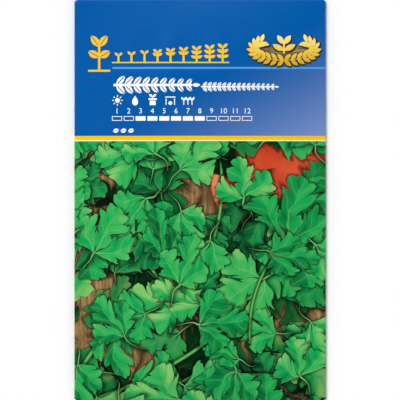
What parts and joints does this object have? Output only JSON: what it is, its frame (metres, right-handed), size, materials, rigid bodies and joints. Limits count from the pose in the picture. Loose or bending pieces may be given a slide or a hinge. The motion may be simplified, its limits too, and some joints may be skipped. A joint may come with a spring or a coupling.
{
  "type": "seed packet",
  "caption": "Flat printed paper packet, folded and glued at the back, holding a sealed sachet of herb seeds, lying on its back.",
  "frame": {"origin": "on the table under the packet's middle, which is the bottom centre of its bounding box", "axes": "+Y towards the packet's top, its longest side; +X to the reader's right; +Z from the back to the picture, its shortest side"},
  "size_m": [0.1, 0.16, 0.0065],
  "materials": {
    "printed_paper": "coated printed paper, satin",
    "sachet_paper": "foil-backed paper, satin",
    "seed_husk": "dry, matt, ribbed seed husk"
  },
  "bodies": {
    "root": {"outer_packet": "printed_paper", "sachet_front": "sachet_paper", "sachet_back": "sachet_paper", "seeds": "seed_husk"}
  },
  "joints": []
}
